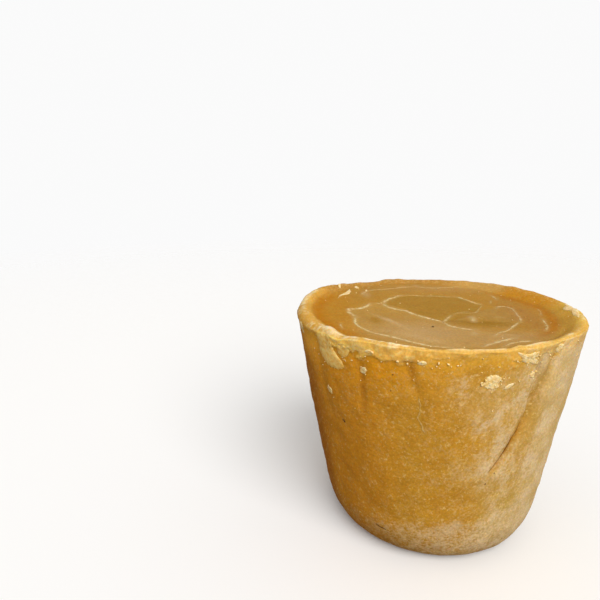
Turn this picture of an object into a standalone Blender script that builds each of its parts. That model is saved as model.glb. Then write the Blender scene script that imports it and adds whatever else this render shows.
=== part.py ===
"""Jaggery block: solid cane sugar set in a cloth-lined bucket, modelled as one solid.

Metres, +Z up. The block rests on its flat foot at z = 0, and the origin is the
middle of the bounding box's bottom. The side that the block shows is at -Y.
"""

from collections import namedtuple
from math import cos, exp, hypot, pi, radians, sin

import bmesh
import bpy

# The bucket's shape.
TOP_DIAMETER = 0.250
HEIGHT = 0.203
FOOT_DIAMETER = 0.1815  # where the side's straight line would reach the ground
SIDE_BULGE = 0.0015
FOOT_SHIFT_X = 0.0040  # the block leans, so its foot is off the middle of its top
FOOT_SHIFT_Y = 0.0006

# The rounded bottom edge, a quarter of an ellipse.
EDGE_INSET = 0.0195
EDGE_HEIGHT = 0.034

# The rim that the cloth held up, around the shallow pour surface. Its crest lies in from
# the side: least at the front (-Y), more elsewhere, and most at the left (-X).
CREST_INSET_FRONT = 0.0018
CREST_INSET_MORE = 0.0034
CREST_INSET_LEFT = 0.0020
ROUNDING_PER_INSET = 0.8
# From the side to where the pour surface levels out: widest at the right (+X).
RIM_WIDTH = 0.014
RIM_WIDTH_RIGHT = 0.011
RIM_WIDTH_LEFT = 0.004
POOL_DEPTH = 0.0045
POOL_TILT = 0.020  # it set while the bucket stood a little askew, and is higher at +Y
POOL_SWELL = 0.0007

# How far the rim's crest is above or below HEIGHT, at even steps around from -X.
CREST_RISES = (
    0.0005,
    -0.0006,
    0.0002,
    -0.0005,
    0.0008,
    0.0012,
    0.0025,
    0.0035,
    0.0030,
    0.0020,
    0.0003,
    0.0040,
)

# Low unevenness of the whole side: depth, waves around it, radians of turn per metre up.
SIDE_WAVES = ((0.0007, 3, 9.0), (0.0005, 5, -14.0), (0.0003, 9, 31.0))

# The soft valleys that the cloth's folds left. Each runs from an angle and a height
# near the rim to an angle and a height lower down.
Fold = namedtuple("Fold", "top_deg top_z foot_deg foot_z half_width depth")
FOLDS = (
    Fold(-152, 0.190, -150, 0.120, 0.006, 0.0012),
    Fold(-129, 0.182, -129, 0.138, 0.004, 0.0012),
    Fold(-112, 0.192, -108, 0.162, 0.005, 0.0013),
    Fold(-88, 0.196, -90, 0.150, 0.009, 0.0010),
    Fold(-64, 0.194, -65, 0.138, 0.007, 0.0024),
    Fold(-66, 0.144, -77, 0.098, 0.006, 0.0024),
    Fold(-56, 0.199, -64, 0.146, 0.0045, 0.0026),
    Fold(-36, 0.196, -40, 0.110, 0.008, 0.0005),
    Fold(-8, 0.194, -12, 0.120, 0.009, 0.0024),
    Fold(14, 0.197, 18, 0.150, 0.006, 0.0020),
    Fold(38, 0.192, 30, 0.090, 0.009, 0.0030),
    Fold(61, 0.196, 64, 0.155, 0.006, 0.0018),
    Fold(84, 0.195, 90, 0.105, 0.009, 0.0028),
    Fold(112, 0.197, 108, 0.150, 0.007, 0.0020),
    Fold(137, 0.193, 143, 0.110, 0.008, 0.0026),
    Fold(166, 0.196, 163, 0.140, 0.007, 0.0018),
)

# How finely the skin is faceted.
AROUND = 112
EDGE_STEPS = 8
SIDE_STEPS = 16
ROUNDING_STEPS = 3
LIP_STEPS = 7
POOL_STEPS = 5

JAGGERY_GOLD = (0.470, 0.240, 0.050, 1.0)  # linear RGB
JAGGERY_ROUGHNESS = 0.5


def smooth_step(share):
    share = min(max(share, 0.0), 1.0)
    return share * share * (3.0 - 2.0 * share)


def turn_between(angle, middle_deg):
    """How far an angle is from a direction in degrees, the short way round."""
    return (angle - radians(middle_deg) + pi) % (2.0 * pi) - pi


def crest_inset(angle):
    """How far the rim's crest lies in from the side."""
    off_front = abs(turn_between(angle, -90.0))
    roll = CREST_INSET_FRONT + CREST_INSET_MORE * smooth_step((off_front - 0.6) / 0.7)
    return roll + CREST_INSET_LEFT * exp(-((turn_between(angle, -178.0) / 0.65) ** 2))


def rim_width(angle):
    """From the side to where the pour surface levels out."""
    broad_right = exp(-((turn_between(angle, 8.0) / 0.8) ** 2))
    broad_left = exp(-((turn_between(angle, 180.0) / 0.7) ** 2))
    return RIM_WIDTH + RIM_WIDTH_RIGHT * broad_right + RIM_WIDTH_LEFT * broad_left


def crest_height(angle):
    """The height of the rim's crest, eased between the given rises."""
    steps = len(CREST_RISES)
    spot = (angle + pi) / (2.0 * pi) * steps
    before = int(spot)
    share = smooth_step(spot - before)
    rise_before = CREST_RISES[before % steps]
    rise_after = CREST_RISES[(before + 1) % steps]
    return HEIGHT + rise_before + (rise_after - rise_before) * share


def fold_pull(fold, angle, z, radius):
    """How far one fold pulls the side in at a place on it."""
    along = (fold.top_z - z) / (fold.top_z - fold.foot_z)
    middle_deg = fold.top_deg + (fold.foot_deg - fold.top_deg) * along
    across = turn_between(angle, middle_deg) * radius / fold.half_width
    ends = smooth_step((along + 0.2) / 0.4) * smooth_step((1.15 - along) / 0.5)
    return fold.depth * ends * exp(-across * across)


def side_radius(angle, z):
    """From the block's own axis to its side, before the bottom edge turns in."""
    share = z / HEIGHT
    radius = (FOOT_DIAMETER + (TOP_DIAMETER - FOOT_DIAMETER) * share) / 2.0
    radius += SIDE_BULGE * 4.0 * share * (1.0 - share)
    for depth, waves, turn in SIDE_WAVES:
        radius += depth * sin(waves * angle + turn * z) * smooth_step(z / EDGE_HEIGHT)
    return radius - sum(fold_pull(fold, angle, z, radius) for fold in FOLDS)


def pool_height(angle, radius):
    """The pour surface: slightly tilted, with a low swell that dies out at its edge."""
    x = radius * cos(angle)
    y = radius * sin(angle)
    swell = sin(45.0 * x + 18.0 * y) * cos(38.0 * y - 12.0 * x)
    inland = smooth_step(1.0 - hypot(x, y) / (TOP_DIAMETER / 2.0))
    return HEIGHT - POOL_DEPTH + POOL_TILT * y + POOL_SWELL * swell * inland


def leaning(angle, radius, z):
    """A point at a radius from the block's own axis, which leans."""
    lean = 1.0 - z / HEIGHT
    return (
        radius * cos(angle) + FOOT_SHIFT_X * lean,
        radius * sin(angle) + FOOT_SHIFT_Y * lean,
        z,
    )


def upright_slice(angle):
    """The points at one angle, from the flat foot over the rim to the pool."""
    points = []
    for step in range(EDGE_STEPS + 1):
        turn = pi / 2.0 * step / EDGE_STEPS
        z = EDGE_HEIGHT * (1.0 - cos(turn))
        radius = side_radius(angle, z) - EDGE_INSET * (1.0 - sin(turn))
        points.append(leaning(angle, radius, z))

    crest = crest_height(angle)
    inset = crest_inset(angle)
    rounding = ROUNDING_PER_INSET * inset
    shoulder = crest - rounding
    for step in range(1, SIDE_STEPS + 1):
        z = EDGE_HEIGHT + (shoulder - EDGE_HEIGHT) * step / SIDE_STEPS
        points.append(leaning(angle, side_radius(angle, z), z))

    outer = side_radius(angle, shoulder)
    for step in range(1, ROUNDING_STEPS + 1):
        turn = pi / 2.0 * step / ROUNDING_STEPS
        radius = outer - inset * (1.0 - cos(turn))
        points.append(leaning(angle, radius, shoulder + rounding * sin(turn)))

    pool_edge = outer - rim_width(angle)
    for step in range(1, LIP_STEPS + 1):
        share = step / LIP_STEPS
        radius = outer - inset - (rim_width(angle) - inset) * share
        z = crest + (pool_height(angle, radius) - crest) * smooth_step(share)
        points.append(leaning(angle, radius, z))

    for step in range(1, POOL_STEPS):
        radius = pool_edge * (1.0 - step / POOL_STEPS)
        points.append(leaning(angle, radius, pool_height(angle, radius)))
    return points


def block_skin():
    """The points and faces of the closed skin, with its bounds' middle at x = y = 0."""
    slices = [upright_slice(2.0 * pi * turn / AROUND) for turn in range(AROUND)]
    rows = len(slices[0])
    points = [point for points_up in slices for point in points_up]
    points.append(leaning(0.0, 0.0, pool_height(0.0, 0.0)))
    middle_x = (min(x for x, _, _ in points) + max(x for x, _, _ in points)) / 2.0
    middle_y = (min(y for _, y, _ in points) + max(y for _, y, _ in points)) / 2.0
    points = [(x - middle_x, y - middle_y, z) for x, y, z in points]

    pool_middle = len(points) - 1
    faces = []
    for turn in range(AROUND):
        here = turn * rows
        after = (turn + 1) % AROUND * rows
        for row in range(rows - 1):
            faces.append((here + row, after + row, after + row + 1, here + row + 1))
        faces.append((here + rows - 1, after + rows - 1, pool_middle))
    flat_foot = [turn * rows for turn in reversed(range(AROUND))]
    faces.append(flat_foot)
    return points, faces


def block_mesh(name):
    points, faces = block_skin()
    mesh = bpy.data.meshes.new(name)
    mesh.from_pydata(points, [], faces)
    skin = bmesh.new()
    skin.from_mesh(mesh)
    bmesh.ops.triangulate(skin, faces=skin.faces)
    skin.to_mesh(mesh)
    skin.free()
    mesh.shade_smooth()
    return mesh


def jaggery_material():
    material = bpy.data.materials.new("jaggery")
    material.use_nodes = True
    shader = material.node_tree.nodes["Principled BSDF"]
    shader.inputs["Base Color"].default_value = JAGGERY_GOLD
    shader.inputs["Roughness"].default_value = JAGGERY_ROUGHNESS
    shader.inputs["Metallic"].default_value = 0.0
    return material


for old in list(bpy.data.objects):
    bpy.data.objects.remove(old, do_unlink=True)

block = bpy.data.objects.new("jaggery_block", block_mesh("jaggery_block"))
block.data.materials.append(jaggery_material())
bpy.context.scene.collection.objects.link(block)
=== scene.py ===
# %% [markdown]
# # A block of jaggery
#
# Jaggery is cane juice, boiled down in an open pan until it is thick enough to set. This
# block was poured hot into a bucket lined with cloth. So it has a bucket's taper, soft
# valleys where the cloth was creased, a rim that crept up the cloth, and a top that set
# almost level, with pale threads where its cooling skin wrinkled.
#
# The plan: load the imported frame, shape one fine skin over the whole block, work relief
# and colour into it, lay the threads, flakes, crumbs and specks on it, and light it softly.

# %% Load the fixed frame
from collections import namedtuple

import bmesh
import bpy
import numpy as np
from mathutils import Matrix, Vector, noise
from mathutils.bvhtree import BVHTree


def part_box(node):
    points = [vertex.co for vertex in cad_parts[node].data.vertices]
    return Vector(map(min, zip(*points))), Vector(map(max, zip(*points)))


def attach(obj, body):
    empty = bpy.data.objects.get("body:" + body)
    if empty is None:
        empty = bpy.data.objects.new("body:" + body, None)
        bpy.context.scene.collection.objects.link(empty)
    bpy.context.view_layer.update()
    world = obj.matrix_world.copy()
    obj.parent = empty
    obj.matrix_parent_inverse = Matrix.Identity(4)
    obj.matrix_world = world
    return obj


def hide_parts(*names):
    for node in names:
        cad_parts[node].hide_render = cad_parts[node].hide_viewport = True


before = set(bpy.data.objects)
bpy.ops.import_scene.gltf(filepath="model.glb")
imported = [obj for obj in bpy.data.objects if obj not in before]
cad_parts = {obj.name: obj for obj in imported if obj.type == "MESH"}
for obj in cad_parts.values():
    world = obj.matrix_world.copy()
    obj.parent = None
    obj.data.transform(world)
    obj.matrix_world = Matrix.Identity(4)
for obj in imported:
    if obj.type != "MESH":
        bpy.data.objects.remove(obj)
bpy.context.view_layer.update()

print("CAD nodes:", sorted(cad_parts))

# %% [markdown]
# ## Sizes
#
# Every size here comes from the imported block's box, or is a real size in millimetres. The
# bucket's straight side would reach the ground on a circle about 0.73 as wide as the top.

# %% Measure the block
MM = 0.001  # metres in a millimetre
box_low, box_high = (np.array(corner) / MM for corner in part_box("jaggery_block"))
WIDTH = (box_high - box_low)[:2].mean()
HIGHEST_RISE = 4.0  # of the rim's crest above its usual height
RIM_Z = box_high[2] - HIGHEST_RISE
TOP_RADIUS = WIDTH * 0.502
FOOT_RADIUS = WIDTH * 0.3646
print(f"block: {WIDTH:.0f} mm wide, rim {RIM_Z:.0f} mm up")

# %% [markdown]
# ## The bucket's shape
#
# A point on the block is named by its angle around the axis and its height, because a
# bucket is a turned shape. The side is a straight taper with a slight belly. On top of
# that come a few long waves, which no cloth lining avoids, and the valleys its creases
# left. NumPy works out all points of a ring at once, which keeps the script quick.

# %% Ease from one value to another
def ease(share):
    """0 below 0, 1 above 1, and a soft S between."""
    share = np.clip(share, 0.0, 1.0)
    return share * share * (3.0 - 2.0 * share)


def turn_between(angle, middle_deg):
    """How far an angle is from a direction in degrees, the short way round, in radians."""
    return (angle - np.radians(middle_deg) + np.pi) % (2.0 * np.pi) - np.pi


# %% The creases of the cloth
Fold = namedtuple("Fold", "top_deg top_z foot_deg foot_z half_width depth")
FOLDS = (
    Fold(-152, 190, -150, 120, 6, 1.2),
    Fold(-129, 182, -129, 138, 4, 1.2),
    Fold(-112, 192, -108, 162, 5, 1.3),
    Fold(-88, 196, -90, 150, 9, 1.0),
    Fold(-64, 194, -65, 138, 7, 2.4),
    Fold(-66, 144, -77, 98, 6, 2.4),
    Fold(-56, 199, -64, 146, 4.5, 2.6),
    Fold(-36, 196, -40, 110, 8, 0.5),
    Fold(-8, 194, -12, 120, 9, 2.4),
    Fold(14, 197, 18, 150, 6, 2.0),
    Fold(38, 192, 30, 90, 9, 3.0),
    Fold(61, 196, 64, 155, 6, 1.8),
    Fold(84, 195, 90, 105, 9, 2.8),
    Fold(112, 197, 108, 150, 7, 2.0),
    Fold(137, 193, 143, 110, 8, 2.6),
    Fold(166, 196, 163, 140, 7, 1.8),
)


def fold_pull(fold, angle, z, radius):
    along = (fold.top_z - z) / (fold.top_z - fold.foot_z)
    middle = fold.top_deg + (fold.foot_deg - fold.top_deg) * along
    across = turn_between(angle, middle) * radius / fold.half_width
    ends = ease((along + 0.2) / 0.4) * ease((1.15 - along) / 0.5)
    return fold.depth * ends * np.exp(-across * across)


# %% The side
EDGE_INSET, EDGE_HEIGHT = 19.5, 34.0  # the rounded bottom edge
BELLY = 1.5
SIDE_WAVES = ((0.7, 3, 0.009), (0.5, 5, -0.014), (0.3, 9, 0.031))


def side_radius(angle, z):
    share = z / RIM_Z
    radius = FOOT_RADIUS + (TOP_RADIUS - FOOT_RADIUS) * share
    radius = radius + BELLY * 4.0 * share * (1.0 - share)
    for depth, waves, turn in SIDE_WAVES:
        radius = radius + depth * np.sin(waves * angle + turn * z) * ease(z / EDGE_HEIGHT)
    return radius - sum(fold_pull(fold, angle, z, radius) for fold in FOLDS)


# %% The rim and the pour surface
CREST_RISES = (0.5, -0.6, 0.2, -0.5, 0.8, 1.2, 2.5, 3.5, 3.0, 2.0, 0.3, 4.0)
POOL_DEPTH, POOL_TILT, POOL_SWELL = 4.5, 0.020, 0.7


def crest_inset(angle):
    """The crest is sharp at the front, a roll elsewhere, and broadest at the left."""
    roll = 1.8 + 3.4 * ease((np.abs(turn_between(angle, -90.0)) - 0.6) / 0.7)
    return roll + 2.0 * np.exp(-(turn_between(angle, -178.0) / 0.65) ** 2)


def rim_width(angle):
    """From the outside to where the top levels out: narrow at the front, wide at the right."""
    broad_right = np.exp(-(turn_between(angle, 8.0) / 0.8) ** 2)
    broad_left = np.exp(-(turn_between(angle, 180.0) / 0.7) ** 2)
    return 14.0 + 11.0 * broad_right + 4.0 * broad_left


def crest_height(angle):
    spot = (angle + np.pi) / (2.0 * np.pi) * len(CREST_RISES)
    before = np.floor(spot).astype(int)
    rises = np.array(CREST_RISES)
    rise, following = rises[before % len(rises)], rises[(before + 1) % len(rises)]
    return RIM_Z + rise + (following - rise) * ease(spot - before)


def pool_height(angle, radius):
    x, y = radius * np.cos(angle), radius * np.sin(angle)
    swell = np.sin(0.045 * x + 0.018 * y) * np.cos(0.038 * y - 0.012 * x)
    inland = ease(1.0 - radius / TOP_RADIUS)
    return RIM_Z - POOL_DEPTH + POOL_TILT * y + POOL_SWELL * swell * inland


# %% [markdown]
# ## A fine skin
#
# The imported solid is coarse, since physics needs no more. The skin that shows has the
# same shape in quads of 1 to 2 mm. It could be a subdivided copy of the solid, but
# building it again from the same rules keeps the quads even and gives each point its
# angle, its radius and its height, which the relief and the colours need later. The rings
# lie closer together near the rim, where the detail is finest.

# %% Lay out the rings
AROUND = 480
angles = np.linspace(-np.pi, np.pi, AROUND, endpoint=False)[None, :]
SIDE, RIM = range(2)  # below the crest, and from its rounding inwards


def rings(count, first=0.0, last=1.0):
    """Shares from first to last, one column, so that they meet the row of angles."""
    return np.linspace(first, last, count)[:, None]


edge_turn = rings(18) * np.pi / 2.0
edge_z = EDGE_HEIGHT * (1.0 - np.cos(edge_turn)) + 0.0 * angles
edge_radius = side_radius(angles, edge_z) - EDGE_INSET * (1.0 - np.sin(edge_turn))

foot_radius = edge_radius[:1] * rings(3, 0.3, 0.9)
foot_z = 0.0 * foot_radius

rim_rounding = 0.8 * crest_inset(angles)
shoulder = crest_height(angles) - rim_rounding
side_share = rings(112, 1 / 112)
side_z = EDGE_HEIGHT + (shoulder - EDGE_HEIGHT) * side_share * (1.4 - 0.4 * side_share)
side_out = side_radius(angles, side_z)

outer = side_radius(angles, shoulder)
round_turn = rings(5, 0.2) * np.pi / 2.0
round_z = shoulder + rim_rounding * np.sin(round_turn)
round_radius = outer - crest_inset(angles) * (1.0 - np.cos(round_turn))

over_share = rings(13, 1 / 13)
lip_radius = outer - crest_inset(angles) - (rim_width(angles) - crest_inset(angles)) * over_share
lip_fall = crest_height(angles) - pool_height(angles, lip_radius)
lip_z = crest_height(angles) - lip_fall * ease(over_share)

pool_radius = (outer - rim_width(angles)) * (1.0 - rings(50, 1 / 51, 50 / 51))
pool_z = pool_height(angles, pool_radius)

ring_radius = np.vstack((foot_radius, edge_radius, side_out, round_radius, lip_radius, pool_radius))
ring_z = np.vstack((foot_z, edge_z, side_z, round_z, lip_z, pool_z))
ring_zone = np.repeat((SIDE, RIM), (3 + 18 + 112, 5 + 13 + 50))
print(f"{len(ring_radius)} rings of {AROUND} points")

# %% [markdown]
# The block leans a little, so its rings slide sideways as they go down. A centre point
# closes the foot, another closes the pour surface, and every other face is a quad.

# %% Build the skin
FOOT_SHIFT = Vector((4.0, 0.6, 0.0))


def lean(z):
    """How far the rings have slid at a height, in millimetres."""
    return np.multiply.outer(1.0 - np.asarray(z) / RIM_Z, FOOT_SHIFT)


angle_all = np.broadcast_to(angles, ring_radius.shape)
turned = np.stack((ring_radius * np.cos(angle_all), ring_radius * np.sin(angle_all), ring_z), -1)
points = (turned + lean(ring_z)).reshape(-1, 3)
centres = (tuple(FOOT_SHIFT), (0.0, 0.0, pool_height(0.0, 0.0)))
points = np.vstack((points, centres))
points[:, :2] -= (points[:, :2].max(axis=0) + points[:, :2].min(axis=0)) / 2.0

here = np.arange(AROUND)
after = (here + 1) % AROUND
last_ring = (len(ring_radius) - 1) * AROUND
quads = [
    np.stack((ring + here, ring + after, ring + AROUND + after, ring + AROUND + here), axis=1)
    for ring in range(0, last_ring, AROUND)
]
foot_centre, pool_centre = len(points) - 2, len(points) - 1
fans = [(foot_centre, int(after[i]), int(here[i])) for i in range(AROUND)]
fans += [(last_ring + int(here[i]), last_ring + int(after[i]), pool_centre) for i in range(AROUND)]
faces = np.vstack(quads).tolist() + fans


def new_piece(name, places, faces):
    """An object from points in millimetres. It rides on the block's one body."""
    mesh = bpy.data.meshes.new(name)
    mesh.from_pydata((np.asarray(places) * MM).tolist(), [], faces)
    mesh.shade_smooth()
    piece = bpy.data.objects.new(name, mesh)
    bpy.context.scene.collection.objects.link(piece)
    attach(piece, "root")
    print(f"{name}: {len(mesh.polygons)} faces")
    return piece


skin = new_piece("jaggery_skin", points, faces)
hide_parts("jaggery_block")

# %% [markdown]
# The relief and the colours ask each point where it is: its angle, its height, how far in
# from the outside it lies, whether it is on the top, and how near the rim's crest it is.

# %% Where each point is
at_angle = np.append(angle_all.ravel(), (0.0, 0.0))
at_degrees = np.degrees(at_angle)
at_radius = np.append(ring_radius.ravel(), (0.0, 0.0))
at_z = points[:, 2]
at_x, at_y = points[:, 0], points[:, 1]
at_top = np.append(np.repeat(ring_zone, AROUND), (SIDE, RIM)) == RIM
at_crest = crest_height(at_angle)
at_inward = np.append(np.broadcast_to(outer, ring_radius.shape).ravel(), (TOP_RADIUS,) * 2) - at_radius
at_inset = crest_inset(at_angle)
pool_share = np.where(at_top, ease((at_inward - at_inset) / (rim_width(at_angle) - at_inset)), 0.0)
crest_gap = np.hypot(np.where(at_top, at_inward - at_inset, at_inset), at_crest - at_z)
crest_share = np.exp(-(crest_gap / 6.5) ** 2) * (at_z > RIM_Z / 2)


def on_wall(middle_deg, middle_z, half_wide, half_high):
    """1 at a place on the side, fading with the distance around and up."""
    across = turn_between(at_angle, middle_deg) * at_radius / half_wide
    up = (at_z - middle_z) / half_high
    return np.exp(-across * across - up * up)


def on_pool(middle_x, middle_y, half_wide, half_deep, turn_deg=0.0):
    """The same on the top, for an oval that is turned anticlockwise."""
    turn = np.radians(turn_deg)
    x, y = at_x - middle_x, at_y - middle_y
    along = (x * np.cos(turn) + y * np.sin(turn)) / half_wide
    across = (y * np.cos(turn) - x * np.sin(turn)) / half_deep
    return np.exp(-along * along - across * across) * at_top


def between(value, low, high, soft):
    return ease((value - low) / soft + 0.5) * ease((high - value) / soft + 0.5)

# %% [markdown]
# ## Relief
#
# Sugar that set against damp cloth is never smooth: it has low lumps a few centimetres
# wide, smaller ones on them, and a crumbly crest. Sculpting by hand would do this too, but
# moving each point along its normal by a sum of noises is quick and comes out the same
# every time. Anything finer than the mesh is left to the material's bump.

# %% Noise over the skin
def lumps(size, shift, octaves=1):
    """Noise in lumps of a size in millimetres, about 1 high and 1 deep."""
    offset = Vector((shift, -shift, 0.5 * shift))
    heights = np.array([noise.fractal(Vector(p) / size + offset, 1.0, 2.0, octaves) for p in points])
    return heights / heights.std()


broad, middling, small = lumps(34.0, 11.0), lumps(12.0, 23.0), lumps(5.0, 37.0)
patchy = lumps(20.0, 51.0, octaves=4)
on_side = ~at_top * ease(at_z / 8.0)
relief = on_side * (0.16 * broad + 0.14 * middling + 0.07 * small)
relief += at_top * (0.25 * broad + 0.06 * middling)
relief += crest_share * (0.22 * middling + 0.10 * small)
left_rim = between(at_degrees % 360.0, 148.0, 224.0, 24.0) * at_top
relief += 0.2 * left_rim * crest_share * middling
print(f"lumps: {np.abs(relief).max():.1f} mm at most")

# %% [markdown]
# At the front left a lip of soft paste was pressed over the rim. It stands a little proud
# of the side and ends in a ragged edge. A piece of the crest has broken away behind it.

# %% The lip and the gap in the crest
LIP_HEIGHT, LIP_THICKNESS = 13.0, 1.1
crusty = lumps(3.0, 71.0)
lip_edge = at_crest - LIP_HEIGHT + 2.0 * middling + 1.2 * small + 0.8 * crusty
lip_span = between(at_degrees + 3.0 * middling, -153.0, -110.0, 8.0)
lip_share = ~at_top * lip_span * ease((at_z - lip_edge) / 1.6)
thin_edge = at_crest - 8.0 + 3.0 * patchy + 1.5 * small + 0.9 * crusty
thin_lip_share = ~at_top * ease((at_z - thin_edge) / 1.6) * (1.0 - lip_span)
relief += LIP_THICKNESS * lip_share + 0.6 * thin_lip_share
relief += (0.06 * lip_share + 0.08 * thin_lip_share) * crusty + 0.15 * lip_share * small

crest_gap_share = np.exp(-(turn_between(at_angle, -138.0) * TOP_RADIUS / 9.0) ** 2)
crest_peak_share = np.exp(-(turn_between(at_angle, -75.0) * TOP_RADIUS / 4.0) ** 2)
crest_fall = crest_share * (3.0 * crest_gap_share - 1.5 * crest_peak_share)

# %% [markdown]
# The pour surface set in cells, each skinned over at its own level, with a low ridge and
# two dips among them. A cell is drawn as a ring of corners, from the middle of the top to
# the right and back in millimetres.

# %% Smooth lines and cells
def smooth_path(corners, spacing, closed=False):
    """Points about a spacing apart on a Catmull-Rom curve through the corners."""
    corners = np.array(corners, float)
    if closed:
        ends = np.vstack((corners[-1:], corners, corners[:2]))
    else:
        ends = np.vstack((2 * corners[0] - corners[1], corners, 2 * corners[-1] - corners[-2]))
    path = []
    for a, b, c, d in zip(ends, ends[1:], ends[2:], ends[3:]):
        t = np.linspace(0.0, 1.0, max(2, int(np.linalg.norm(c - b) / spacing)), endpoint=False)[:, None]
        bend = (2 * a - 5 * b + 4 * c - d) * t**2 + (3 * b - a - 3 * c + d) * t**3
        path.append(b + 0.5 * ((c - a) * t + bend))
    return np.vstack(path if closed else (*path, corners[-1:]))


def side_of_path(path, x, y):
    """Distance to a path, positive on its right, and how far along it the nearest point is."""
    nearest, signed, along = np.full(len(x), 1e9), np.zeros(len(x)), np.zeros(len(x))
    for number, (start, end) in enumerate(zip(path, path[1:])):
        run = end - start
        share = np.clip(((x - start[0]) * run[0] + (y - start[1]) * run[1]) / (run @ run), 0.0, 1.0)
        off_x, off_y = x - start[0] - share * run[0], y - start[1] - share * run[1]
        distance = np.hypot(off_x, off_y)
        side = np.sign(off_x * run[1] - off_y * run[0])
        closer = distance < nearest
        nearest = np.where(closer, distance, nearest)
        signed = np.where(closer, side * distance, signed)
        along = np.where(closer, (number + share) / (len(path) - 1), along)
    return signed, along


def cell_share(corners, soft):
    """1 inside a cell of the top, 0 outside it. Corners run anticlockwise."""
    path = smooth_path(corners, 6.0, closed=True)
    inside = -side_of_path(np.vstack((path, path[:1])), at_x, at_y)[0]
    return ease(inside / soft + 0.5) * at_top


BACK_CELL = ((-42, 28), (-28, 15), (-14, -12), (4, -31), (24, -20), (39, 1), (50, 22), (43, 32),
             (38, 52), (26, 59), (5, 61), (-9, 56), (-25, 51))
FRONT_CELL = ((-42, 28), (-60, 17), (-78, 5), (-78, -9), (-75, -43), (-61, -66), (-46, -85),
              (-21, -98), (13, -97), (38, -76), (20, -59), (-2, -37), (-17, -12), (-28, 10))
RIGHT_CELL = ((3, -36), (30, -45), (50, -56), (60, -44), (70, -26), (75, 6), (68, 16), (58, 10),
              (42, 0), (28, -14), (12, -26))
back_cell, front_cell, right_cell = (cell_share(c, 3.0) for c in (BACK_CELL, FRONT_CELL, RIGHT_CELL))
relief += -0.4 * back_cell - 0.3 * front_cell
relief += 0.9 * on_pool(-43, -34, 22, 5, -70) - 0.8 * on_pool(-57, -23, 10, 16)
relief -= 1.1 * on_pool(32, -31, 30, 6, -10)
relief += 0.5 * on_wall(-89.5, 48, 4.0, 2.6)
print(f"cells cover {100 * (back_cell + front_cell + right_cell).sum() / at_top.sum():.0f}% of the top")

# %% [markdown]
# Down the right of the front runs a fold, where the cloth doubled. Its left side overhangs,
# and lower down the paste never joined, so it ends as a thin crack. The mesh is too coarse
# to hold such a sharp edge, so its points are first drawn together along the crack.

# %% The fold that ends in a crack
CRACK_CORNERS = ((-65, 190), (-65.5, 176), (-66, 160), (-66, 148), (-67, 139), (-68.6, 131), (-70, 126),
                 (-71.5, 118), (-73.4, 111), (-76, 104), (-78.5, 99), (-80, 97))
MID_RADIUS = 112.0  # turns an angle on the side into millimetres around it
crack_path = smooth_path([(np.radians(turn) * MID_RADIUS, z) for turn, z in CRACK_CORNERS], 3.0)
near_crack = (np.abs(at_degrees + 70.0) < 20.0) & (at_z > 80.0) & ~at_top
beside, along = (np.full(len(points), fill) for fill in (99.0, 0.0))
beside[near_crack], along[near_crack] = side_of_path(
    crack_path, at_angle[near_crack] * MID_RADIUS, at_z[near_crack])
beside = -beside  # the path runs down, so its right is the viewer's left
crack_ends = ease(along / 0.08) * ease((1.0 - along) / 0.12) * (np.abs(beside) < 20.0)
cracked = crack_ends * ease((along - 0.50) / 0.12)

DRAWN_TOGETHER = 0.7
draw = -DRAWN_TOGETHER * beside * np.exp(-(beside / 5.0) ** 2) * crack_ends
points[:, 0] += draw * -np.sin(at_angle)
points[:, 1] += draw * np.cos(at_angle)
beside = beside + draw
left_edge = 2.2 - 1.8 * cracked
crack_fall = np.where(beside < 0.0, np.exp(-(beside / left_edge) ** 2), np.exp(-(beside / 4.5) ** 2))
relief += crack_ends * (0.5 * np.exp(-((beside + 4.0) / 3.5) ** 2) - (1.0 + 0.5 * cracked) * crack_fall)
print(f"crack: points {(1.0 - DRAWN_TOGETHER) * 1.5:.1f} mm apart")

# %% Move the skin
mesh = skin.data
mesh.vertices.foreach_set("co", (points * MM).ravel())
mesh.update()
normals = np.empty(len(points) * 3)
mesh.vertices.foreach_get("normal", normals)
points += normals.reshape(-1, 3) * relief[:, None]
points[:, 2] = np.maximum(points[:, 2] - crest_fall, 0.0)
mesh.vertices.foreach_set("co", (points * MM).ravel())
mesh.update()
surface = BVHTree.FromPolygons(points.tolist(), faces)

# %% [markdown]
# ## Colour
#
# The colour of jaggery follows how it cooled. Against the cloth it is amber, where the rim
# was thin it is painted bright gold as the light shining through it, and its pour surface
# ranges from olive to tan. Dry sugar blooms on it as a pale meal, most of all near the foot
# and on one side. Large areas like these are painted on the points of the skin, as washes of
# one colour over another, and so is some light and shade. Fine grain comes later, in the
# material.

# %% Washes of colour
def linear(code):
    """A Blender colour from an sRGB hex code, with each channel made linear."""
    channels = np.array([int(code[i:i + 2], 16) for i in (1, 3, 5)]) / 255.0
    straight = np.where(channels <= 0.04045, channels / 12.92, ((channels + 0.055) / 1.055) ** 2.4)
    return (*straight.tolist(), 1.0)


tint = np.tile(linear("#c79029")[:3], (len(points), 1))


def wash(code, share):
    """Takes the skin's colour towards another, as far as the share says."""
    tint[:] += np.clip(share, 0.0, 1.0)[:, None] * (np.array(linear(code)[:3]) - tint)


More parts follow.
